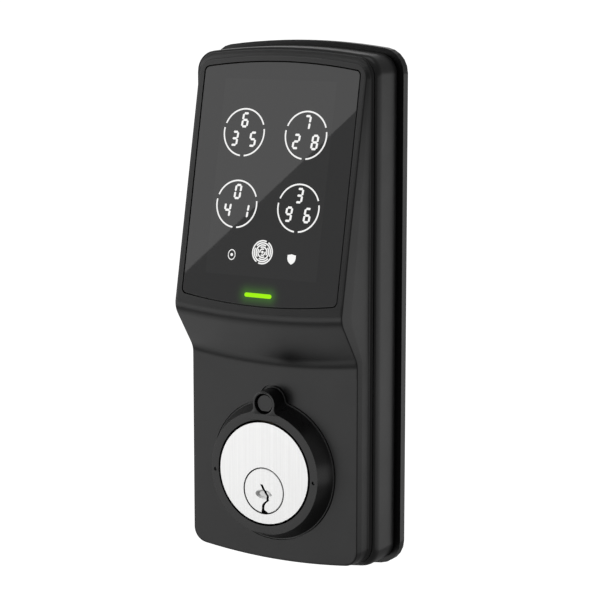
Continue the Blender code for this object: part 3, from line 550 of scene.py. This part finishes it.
# ---- Touch glass ----
# A sheet of toughened glass, 1.1 mm thick, printed black behind and ground at its edges.
# It drops into the pocket of the head on a foam seal, just below the rim.
def printed_glass():
    """Glass printed black behind: a display window shows faintly, and the bar's light is painted on
    it as a glow.
    """
    mat, net, glass = new_material("black_printed_glass")
    glass.inputs["IOR"].default_value = 1.42
    place = own_place(net)
    film = noise(net, place, 70.0, 5.0)

    def amount(kind, first, second):
        node = net.nodes.new("ShaderNodeMath")
        node.operation = kind
        for socket, value in zip(node.inputs, (first, second)):
            if isinstance(value, (int, float)):
                socket.default_value = value
            else:
                net.links.new(value, socket)
        return node.outputs["Value"]

    split = net.nodes.new("ShaderNodeSeparateXYZ")
    net.links.new(place, split.inputs["Vector"])
    x, z = split.outputs["X"], split.outputs["Z"]
    aside = amount("SUBTRACT", amount("ABSOLUTE", x, 0.0), WINDOW[0] * MM)
    middle_z = lean_to_head(0.0, WINDOW_S, 0.0)[2]
    rise = amount("ABSOLUTE", amount("SUBTRACT", z, middle_z), 0.0)
    upright = amount("SUBTRACT", rise, WINDOW[1] * math.cos(TILT) * MM)
    outside = amount("MAXIMUM", aside, upright)
    window = remap(net, outside, from_min=0.15 * MM, from_max=-0.15 * MM)
    tone = blend_colours(net, film, (0.055, 0.055, 0.0556), (0.059, 0.059, 0.0596))
    faint = blend_colours(net, window, tone, (0.064, 0.064, 0.0645))
    net.links.new(faint, glass.inputs["Base Color"])
    net.links.new(remap(net, film, 0.004, 0.02), glass.inputs["Roughness"])
    # Painted glow: the bar's green light on the glass around it is painted into the glass as
    # emission that fades away from the bar.
    bar = lean_to_head(0.0, BAR_S, 0.0)
    along = amount("SUBTRACT", amount("ABSOLUTE", x, 0.0), 3.6 * MM)
    along = amount("MAXIMUM", along, 0.0)
    across = amount("SUBTRACT", z, bar[2])
    near = amount("ADD", amount("MULTIPLY", along, along), amount("MULTIPLY", across, across))
    fall = amount("MULTIPLY", near, -1.0 / (1.9 * MM) ** 2)
    glow = amount("MULTIPLY", amount("POWER", math.e, fall), GLOW)
    glass.inputs["Emission Color"].default_value = (0.22, 1.0, 0.01, 1.0)
    net.links.new(glow, glass.inputs["Emission Strength"])
    return mat


def edged_slab(name, outline_at, front, back, edge, place=straight_on):
    """A flat slab whose front edge is rounded by edge; outline_at gives the inset outline."""
    steps = []
    for degrees in (0, 30, 60, 90):
        a = math.radians(degrees)
        steps.append((edge * (1 - math.sin(a)), front + edge * (1 - math.cos(a))))
    steps.append((0.0, back))
    work = bmesh.new()
    rings = []
    for by, y in steps:
        rings.append([work.verts.new(place(x, z, y)) for x, z in outline_at(by)])
    work.faces.new(rings[0])
    work.faces.new(rings[-1])
    for ring, following in zip(rings, rings[1:]):
        bridge(work, ring, following)
    obj = finished(name, work)
    break_edges(obj, 0.0)
    return obj


glass = edged_slab(
    "touch_glass",
    lambda by: arch_loop(*inset(GLASS, by), (), GLASS_BOW),
    0.05, 1.1, 0.16, lean_to_head,
)
glass.data.materials.append(printed_glass())
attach(glass, "housing")
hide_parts("display_glass")


# ---- Lit marks on the glass ----
# Four touch rings with three digits each, a round touch-sensor mark and two small signs.
# They are clear openings in the black print that the display lights from behind.
GLASS_MIDDLE = -31.62


def lit(name, colour, strength, flicker, shine=0.5):
    """A lit display colour, a touch uneven as light through printed glass is."""
    mat, net, glow = new_material(name)
    glow.inputs["Base Color"].default_value = (*shaded(colour, 0.2), 1.0)
    glow.inputs["Roughness"].default_value = 0.3
    glow.inputs["Specular IOR Level"].default_value = shine
    glow.inputs["Emission Strength"].default_value = strength
    uneven = noise(net, own_place(net), 900.0, 2.0)
    shown = blend_colours(net, uneven, shaded(colour, 1 - flicker), colour)
    net.links.new(shown, glow.inputs["Emission Color"])
    return mat


WHITE_LIGHT = lit("white_display_light", (1.0, 1.0, 0.99), 0.86, 0.1)


FILM = (0.02, 0.07)


def lit_mark(name, loops, mat):
    """Flat shapes in the glass's front, each a closed film a few hundredths thick."""
    work = bmesh.new()
    for loop in loops:
        near = [work.verts.new(lean_to_head(x, s, FILM[0])) for x, s in loop]
        far = [work.verts.new(lean_to_head(x, s, FILM[1])) for x, s in loop]
        work.faces.new(near)
        work.faces.new(far[::-1])
        bridge(work, far, near)
    mark = finished(name, work)
    mark.data.materials.append(mat)
    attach(mark, "housing")


def arc_band(x, s, radius, width, start, stop):
    """A piece of ring round (x, s), between two angles in degrees, in short lengths."""
    steps = max(2, round((stop - start) / 6))
    outer = []
    inner = []
    for i in range(steps + 1):
        a = math.radians(start + (stop - start) * i / steps)
        for side, r in ((outer, radius + width / 2), (inner, radius - width / 2)):
            side.append((x + r * math.cos(a), s + r * math.sin(a)))
    return outer + inner[::-1]


SEGMENTS = {
    "a": ((-1, 1), (1, 1)), "b": ((1, 1), (1, 0)), "c": ((1, 0), (1, -1)),
    "d": ((-1, -1), (1, -1)), "e": ((-1, 0), (-1, -1)), "f": ((-1, 1), (-1, 0)),
    "g": ((-1, 0), (1, 0)),
}
DIGITS = {
    0: "abcdef", 1: "bc", 2: "abged", 3: "abgcd", 4: "fgbc", 5: "afgcd", 6: "afgedc",
    7: "abc", 8: "abcdefg", 9: "abcdfg",
}
DIGIT_W = 1.62
DIGIT_H = 3.62
STROKE = 0.6
SLANT = 0.1


def digit(number, x, s):
    """Slanted bars with pointed ends, as a seven-bar display draws a number."""
    loops = []
    for key in DIGITS[number]:
        (ax, az), (bx, bz) = SEGMENTS[key]
        start = Vector((ax * DIGIT_W / 2, az * DIGIT_H / 2))
        end = Vector((bx * DIGIT_W / 2, bz * DIGIT_H / 2))
        along = (end - start).normalized()
        across = Vector((-along.y, along.x)) * STROKE / 2
        start += along * 0.1
        end -= along * 0.1
        tip = along * STROKE * 0.32
        hexagon = [
            start, start + tip - across, end - tip - across, end, end - tip + across,
            start + tip + across,
        ]
        loops.append([(x + p.x + p.y * SLANT, s + p.y) for p in hexagon])
    return loops


PADS = (
    ("upper_left", -9.9, 9.88, (6, 3, 5)),
    ("upper_right", 9.9, 9.88, (7, 2, 8)),
    ("lower_left", -9.9, -9.88, (0, 4, 1)),
    ("lower_right", 9.9, -9.88, (3, 9, 6)),
)
for label, x, up, numbers in PADS:
    s = GLASS_MIDDLE + up
    sweep = ((21.0, 159.0), (170.0, 264.5), (275.5, 370.0))
    lit_mark(
        f"touch_ring_{label}", [arc_band(x, s, 6.46, 0.42, a, b) for a, b in sweep],
        WHITE_LIGHT,
    )
    loops = []
    for number, (dx, ds) in zip(numbers, ((0.0, 3.4), (-2.85, -1.8), (3.0, -1.8))):
        loops += digit(number, x + dx, s + ds)
    lit_mark(f"digits_{label}", loops, WHITE_LIGHT)

rings = [arc_band(0.0, GLASS_MIDDLE - 22.5, 0.2, 0.36, 0, 354)]
for n, radius in enumerate((0.85, 1.42, 1.99, 2.56, 3.13)):
    turn = 37.0 + 97.0 * n
    open_half = 20.0 / radius
    middle_s = GLASS_MIDDLE - 22.5
    rings.append(
        arc_band(0.0, middle_s, radius, 0.37, turn + open_half, turn + 180 - open_half)
    )
    rings.append(
        arc_band(0.0, middle_s, radius, 0.37, turn + 180 + open_half, turn + 360 - open_half)
    )
lit_mark("touch_sensor_mark", rings, WHITE_LIGHT)

sign_s = GLASS_MIDDLE - 23.85
oval = []
for a, b in ((0, 176), (180, 356)):
    oval.append([(-9.8 + x * 0.82, sign_s + z) for x, z in arc_band(0, 0, 1.35, 0.26, a, b)])
oval.append([(-9.8 + x, sign_s + z) for x, z in round_loop(0.0, 0.0, 0.42, 20)])
lit_mark("wireless_mark", oval, WHITE_LIGHT)

shield_s = GLASS_MIDDLE - 23.7
half = [(0.0, 1.3), (0.55, 1.15), (1.3, 1.05), (1.3, 0.1), (1.1, -0.55), (0.65, -1.1), (0.0, -1.5)]
shield = [(9.4 + x, shield_s + z) for x, z in half]
shield += [(9.4 - x, shield_s + z) for x, z in half[-2:0:-1]]
lit_mark("shield_mark", [shield], WHITE_LIGHT)


# ---- Status light ----
# A green light bar at the foot of the glass, moulded in clear plastic with round ends.
# It shines through a slot in the black print; its light on the glass beside it is painted into the
# glass as a glow.
GREEN_LIGHT = lit("green_status_light", (0.36, 0.92, 0.0), 0.95, 0.12, 0.15)
bar = []
for side in (1, -1):
    for i in range(13):
        a = math.radians(-90 + 15 * i) + (0 if side == 1 else math.pi)
        bar.append((side * 3.75 + 0.58 * math.cos(a), BAR_S + 0.58 * math.sin(a)))
lit_mark("status_light_bar", [bar], GREEN_LIGHT)


# ---- Collar ----
# A turned and milled zinc ring round the key cylinder, tapered outwards to its foot, with
# a round lug on top for the small button. Black enamel; it snaps into the lower face.
COLLAR_R = 17.4
LUG_R = 3.55
DIMPLE_X = 16.0
DIMPLE_DROP = 0.75


def lug_outline(ring_r, lug_r, fillet):
    """The ring and its lug in one outline, joined by hollow fillets, round the ring's centre."""
    rise = LUG_Z - CYL_Z
    a = ring_r + fillet
    b = lug_r + fillet
    z = (a * a - b * b + rise * rise) / (2 * rise)
    x = math.sqrt(a * a - z * z)
    ring_turn = math.atan2(z, x)
    lug_turn = math.atan2(z - rise, x)
    loop = []

    def arc(cx, cz, r, start, stop, steps):
        for i in range(steps):
            t = start + (stop - start) * i / steps
            loop.append((cx + r * math.cos(t), CYL_Z + cz + r * math.sin(t)))

    arc(0, 0, ring_r, math.pi - ring_turn, 2 * math.pi + ring_turn, 120)
    arc(x, z, fillet, ring_turn + math.pi, lug_turn + math.pi, 10)
    arc(0, rise, lug_r, lug_turn, math.pi - lug_turn, 36)
    arc(-x, z, fillet, -lug_turn, -ring_turn, 10)
    return loop


def collar_ring():
    work = bmesh.new()

    def ring(loop, y):
        return [work.verts.new(straight_on(x, z, y)) for x, z in loop]

    def flat(*loops):
        corners = [v for loop in loops for v in loop]
        for tri in geometry.tessellate_polygon([[v.co.xzy for v in loop] for loop in loops]):
            work.faces.new([corners[i] for i in tri])

    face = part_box("collar_ring")[0].y / MM
    foot = LOWER_Y + 0.3
    outer = [ring(lug_outline(COLLAR_R - 0.12, LUG_R - 0.12, 1.72), face)]
    outer.append(ring(lug_outline(COLLAR_R - 0.03, LUG_R - 0.03, 1.63), face + 0.03))
    outer.append(ring(lug_outline(COLLAR_R, LUG_R, 1.6), face + 0.12))
    outer.append(ring(lug_outline(19.5, 3.85, 1.5), LOWER_Y - 0.3))
    outer.append(ring(lug_outline(19.6, 3.95, 1.45), LOWER_Y - 0.3))
    outer.append(ring(lug_outline(19.78, 4.1, 1.4), LOWER_Y - 0.16))
    outer.append(ring(lug_outline(19.78, 4.1, 1.4), foot))
    bore = []
    for r, y in ((15.02, face), (14.93, face + 0.04), (14.9, face + 0.14), (14.9, -13.7)):
        bore.append(ring(round_loop(0.0, CYL_Z, r, 120), y))
    spigot = [ring(round_loop(0.0, CYL_Z, 16.9, 120), y) for y in (-13.7, foot)]
    lug = []
    for r, y in ((2.96, face), (2.9, face + 0.03), (2.87, face + 0.12), (2.87, foot)):
        lug.append(ring(round_loop(0.0, LUG_Z, r, 48), y))
    cups = []
    for side in (-1, 1):
        cup = []
        for r, y in ((0.55, face), (0.5, face + 0.06), (0.42, face + 0.5)):
            cup.append(ring(round_loop(side * DIMPLE_X, CYL_Z - DIMPLE_DROP, r, 20), y))
        bridge(work, cup[0], cup[1])
        bridge(work, cup[1], cup[2])
        work.faces.new(cup[2])
        cups.append(cup[0])
    flat(outer[0], bore[0], lug[0], *cups)
    flat(outer[-1], spigot[1], lug[-1])
    for rings_of in (outer, bore, lug):
        for a, b in zip(rings_of, rings_of[1:]):
            bridge(work, a, b)
    bridge(work, spigot[0], spigot[1])
    bridge(work, bore[-1], spigot[0])
    collar = finished("collar_with_lug", work)
    break_edges(collar, 0.0)
    collar.data.materials.append(powder_coat("collar_enamel", BLACK, 0.27, 0.05, 0.03))
    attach(collar, "housing")
    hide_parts("collar_ring")


collar_ring()


# ---- Lug button ----
# A small turned button with one flat, sprung, deep in the lug's bore.
# Enamelled like the collar, a shade paler and less glossy, with a finer grain.
coat(
    ["lug_button"], powder_coat("button_enamel", (0.01, 0.01, 0.0102), 0.3, 0.05, 0.02),
    0.12,
)


# ---- Key cylinder and plug ----
# Solid brass, satin nickel plated. The face is brushed straight up and down; the plug
# turns in it and carries the keyway with a shallow dish worn round it by the key.
def brushed_nickel(name, tone, rough, streak, face=None):
    """Brushed nickel; given a plug's face depth, what lies behind it in the keyway gets painted
    shade, darker with depth.
    """
    mat, net, metal = new_material(name)
    metal.inputs["Metallic"].default_value = 1.0
    metal.inputs["Anisotropic"].default_value = 0.35
    place = own_place(net)
    pull = net.nodes.new("ShaderNodeMapping")
    pull.inputs["Scale"].default_value = (1700.0, 1700.0, 28.0)
    net.links.new(place, pull.inputs["Vector"])
    lines = noise(net, pull.outputs["Vector"], 1.0, 3.0)
    base = blend_colours(net, lines, shaded(tone, 1 - streak), tone)
    if face is not None:
        # Painted shade: the keyway is painted darker the deeper it lies behind the plug's face.
        split = net.nodes.new("ShaderNodeSeparateXYZ")
        net.links.new(place, split.inputs["Vector"])
        near, deep = face + 0.12 * MM, face + 1.3 * MM
        depth = remap(net, split.outputs["Y"], from_min=near, from_max=deep)
        base = blend_colours(net, depth, base, (0.03, 0.028, 0.025))
    net.links.new(base, metal.inputs["Base Color"])
    net.links.new(remap(net, lines, rough - 0.06, rough + 0.06), metal.inputs["Roughness"])
    add_grain(net, metal, lines, 0.06, 0.00004)
    return mat


TONE = (0.99, 0.99, 0.985)
coat(["cylinder_body"], brushed_nickel("brushed_satin_nickel", TONE, 0.34, 0.28), 0.12)
plug_face = (nodes["key_plug"].matrix_world.inverted() @ Vector((0.0, -25.0 * MM, 0.0))).y
coat(["key_plug"], brushed_nickel("brushed_plug_nickel_keyway_shade", TONE, 0.34, 0.28, plug_face), 0.1)


# ---- Seals ----
# Black rubber cords and foam frames squeezed between the parts, and the rubber lining
# of the cable outlet. All are pushed into place, with no glue.
def moulded(name, colour, rough, scale, grain, metallic=0.0):
    """A moulded, plated or turned surface: even colour with a fine skin."""
    mat, net, skin = new_material(name)
    skin.inputs["Metallic"].default_value = metallic
    tone = noise(net, own_place(net), scale, 4.0)
    light = [min(c, 1.0) for c in shaded(colour, 1.15)]
    base = blend_colours(net, tone, shaded(colour, 0.82), light)
    net.links.new(base, skin.inputs["Base Color"])
    low, high = max(rough - 0.08, 0.05), min(rough + 0.08, 1.0)
    net.links.new(remap(net, tone, low, high), skin.inputs["Roughness"])
    add_grain(net, skin, tone, grain, GRAIN_DEPTH)
    return mat


RUBBER = moulded("black_rubber", (0.012, 0.012, 0.012), 0.72, 1500.0, 0.1)
coat(["body_gasket", "housing_gasket", "cable_grommet"], RUBBER)
FOAM = moulded("closed_cell_foam", (0.024, 0.024, 0.025), 0.92, 2600.0, 0.6)
coat(["glass_seal", "weather_gasket"], FOAM)


# ---- Fixings and springs ----
# Zinc plated steel screws, mounting posts, snap rings and coil springs, bought in.
# The screws go in from the back; the posts stand out of it into the door. No threads are cut.
ZINC = moulded("bright_zinc_plate", (0.6, 0.61, 0.6), 0.33, 420.0, 0.05, 1.0)
coat(["mounting_post_left", "mounting_post_right"], ZINC, 0.1)
coat([f"housing_screw_{n}" for n in (1, 2, 3, 4)], ZINC, 0.08)
coat([f"cylinder_screw_{n}" for n in (1, 2)], ZINC, 0.08)
coat([f"board_screw_{n}" for n in (1, 2)], ZINC, 0.08)
coat(["collar_clip", "plug_clip", "button_clip"], ZINC)
coat([f"driver_spring_{n}" for n in (1, 2, 3, 4, 5)], ZINC)


SPRING_WIRE = 0.00014
SPRING_TURNS = 3
SPRING_STEPS = 24
SPRING_SIDES = 8


def return_spring():
    """The button's coil spring, a still coil at rest between its back end and the button."""
    low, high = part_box("button_spring")
    coil_r = (high[0] - low[0]) / 2 - SPRING_WIRE
    front, back = low[1] + SPRING_WIRE, high[1] - SPRING_WIRE
    centre_x, centre_z = (low[0] + high[0]) / 2, (low[2] + high[2]) / 2
    steps = SPRING_TURNS * SPRING_STEPS
    work = bmesh.new()
    rings = []
    for i in range(steps + 1):
        turn = 2 * math.pi * i / SPRING_STEPS
        y = back + (front - back) * i / steps
        ring = []
        for k in range(SPRING_SIDES):
            a = 2 * math.pi * k / SPRING_SIDES
            r = coil_r + SPRING_WIRE * math.cos(a)
            ring.append(work.verts.new((
                centre_x + r * math.cos(turn), y + SPRING_WIRE * math.sin(a),
                centre_z + r * math.sin(turn),
            )))
        rings.append(ring)
    for near, far in zip(rings, rings[1:]):
        bridge(work, near, far)
    work.faces.new(rings[0])
    work.faces.new(rings[-1])
    spring = finished("lug_button_spring", work)
    spring.data.shade_smooth()
    spring.data.materials.append(ZINC)
    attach(spring, "housing")
    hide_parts("button_spring")
    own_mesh(spring)


return_spring()


# ---- Tailpiece ----
# A flat bar stamped from plated steel, hung from the back of the plug by a cross pin.
# It reaches through the door and turns the bolt.
BLADE = brushed_nickel("rolled_plated_steel", (0.58, 0.58, 0.57), 0.36, 0.25)
coat(["tailpiece"], BLADE, 0.15)
coat(["tailpiece_pin"], ZINC)


# ---- Pins of the cylinder ----
# Turned brass pins in five chambers, closed by a brass strip pressed in over the springs.
PIN_BRASS = moulded("turned_brass", (0.72, 0.53, 0.22), 0.3, 900.0, 0.08, 1.0)
coat([f"key_pin_{n}" for n in (1, 2, 3, 4, 5)], PIN_BRASS)
coat([f"driver_pin_{n}" for n in (1, 2, 3, 4, 5)], PIN_BRASS)
coat(["spring_cover"], PIN_BRASS)


# ---- Electronics ----
# The touch panel behind the glass, the light guide, and one green board on the web with
# its chip, radio can, buzzer, cable socket and button switch soldered on.
NYLON = moulded("black_nylon", (0.03, 0.03, 0.032), 0.5, 800.0, 0.08)
coat(["touch_panel", "cable_socket"], NYLON)
coat(["main_board"], moulded("green_solder_mask", (0.012, 0.09, 0.035), 0.42, 260.0, 0.1))
EPOXY = moulded("black_epoxy", (0.02, 0.02, 0.021), 0.5, 1800.0, 0.15)
coat(["main_chip", "buzzer", "button_switch"], EPOXY)
coat(["radio_module"], moulded("tinned_can", (0.66, 0.66, 0.64), 0.38, 500.0, 0.05, 1.0))
coat(["status_light_guide"], GREEN_LIGHT)


# ---- Floor, lights and camera ----
# A wide pale floor well below the part, and soft rectangular studio lights round it.
FLOOR_R = 300.0
FLOOR_Z = -1.0


def floor():
    work = bmesh.new()
    corners = [(-1, -1), (1, -1), (1, 1), (-1, 1)]
    work.faces.new([work.verts.new((x * FLOOR_R, y * FLOOR_R, FLOOR_Z)) for x, y in corners])
    mesh = bpy.data.meshes.new("floor")
    work.to_mesh(mesh)
    work.free()
    ground = bpy.data.objects.new("floor", mesh)
    bpy.context.scene.collection.objects.link(ground)
    mat, _, pale = new_material("pale_floor")
    pale.inputs["Base Color"].default_value = (0.9, 0.9, 0.9, 1.0)
    pale.inputs["Roughness"].default_value = 0.9
    pale.inputs["Specular IOR Level"].default_value = 0.0
    pale.inputs["Emission Color"].default_value = (1.0, 1.0, 1.0, 1.0)
    pale.inputs["Emission Strength"].default_value = 0.9
    mesh.materials.append(mat)
    ground.visible_diffuse = False
    ground.visible_glossy = False


floor()


def softbox(name, place, turn, size, strength):
    """A soft rectangular light; strength is the brightness of its face."""
    lamp = bpy.data.lights.new(name, "AREA")
    lamp.shape = "RECTANGLE"
    lamp.size, lamp.size_y = size
    lamp.energy = strength * math.pi * size[0] * size[1]
    obj = bpy.data.objects.new(name, lamp)
    obj.location = place
    obj.rotation_euler = [math.radians(a) for a in turn]
    obj.visible_camera = False
    bpy.context.scene.collection.objects.link(obj)


LIT_POINT = (0.0, -0.02, -0.01)


def facing(place):
    """The turn, in degrees, that points a light from place at the part."""
    aim = Vector(LIT_POINT) - Vector(place)
    return [math.degrees(a) for a in aim.to_track_quat("-Z", "Y").to_euler()]


LEFT_TURN = (-68.0, 53.421, 165.091)
softbox("left_softbox", (-0.9957, -0.8079, 0.6108), LEFT_TURN, (1.5, 1.0), 1.35)
SOFTBOXES = (
    ("low_left_softbox", (-0.50, -0.80, -0.21), (0.8, 0.44), 1.05),
    ("under_softbox", (-0.42, -0.12, -0.72), (0.8, 0.6), 0.6),
    ("right_softbox", (0.98, 0.1, -0.16), (1.1, 0.4), 0.6),
    ("right_back_softbox", (0.66, 1.02, -0.2), (0.9, 0.5), 0.58),
    ("back_softbox", (-0.65, 1.05, 0.3), (0.9, 0.5), 0.65),
    ("top_softbox", (0.15, -0.15, 1.2), (0.9, 0.9), 0.8),
)
for name, place, size, strength in SOFTBOXES:
    softbox(name, place, facing(place), size, strength)

world = bpy.data.worlds.new("studio")
world.use_nodes = True
surround = world.node_tree.nodes["Background"]
surround.inputs["Color"].default_value = (1.0, 1.0, 1.0, 1.0)
surround.inputs["Strength"].default_value = 0.22
bpy.context.scene.world = world
bpy.context.scene.view_settings.view_transform = "Standard"

lens = bpy.data.cameras.new("camera")
lens.lens = 125.754
lens.sensor_width = 36.0
lens.clip_end = 1000.0
camera = bpy.data.objects.new("camera", lens)
camera.location = (0.302727, -0.501289, 0.095503)
look = Vector((-0.514538, 0.842364, -0.160230))
camera.rotation_euler = look.to_track_quat("-Z", "Y").to_euler()
bpy.context.scene.collection.objects.link(camera)
bpy.context.scene.camera = camera
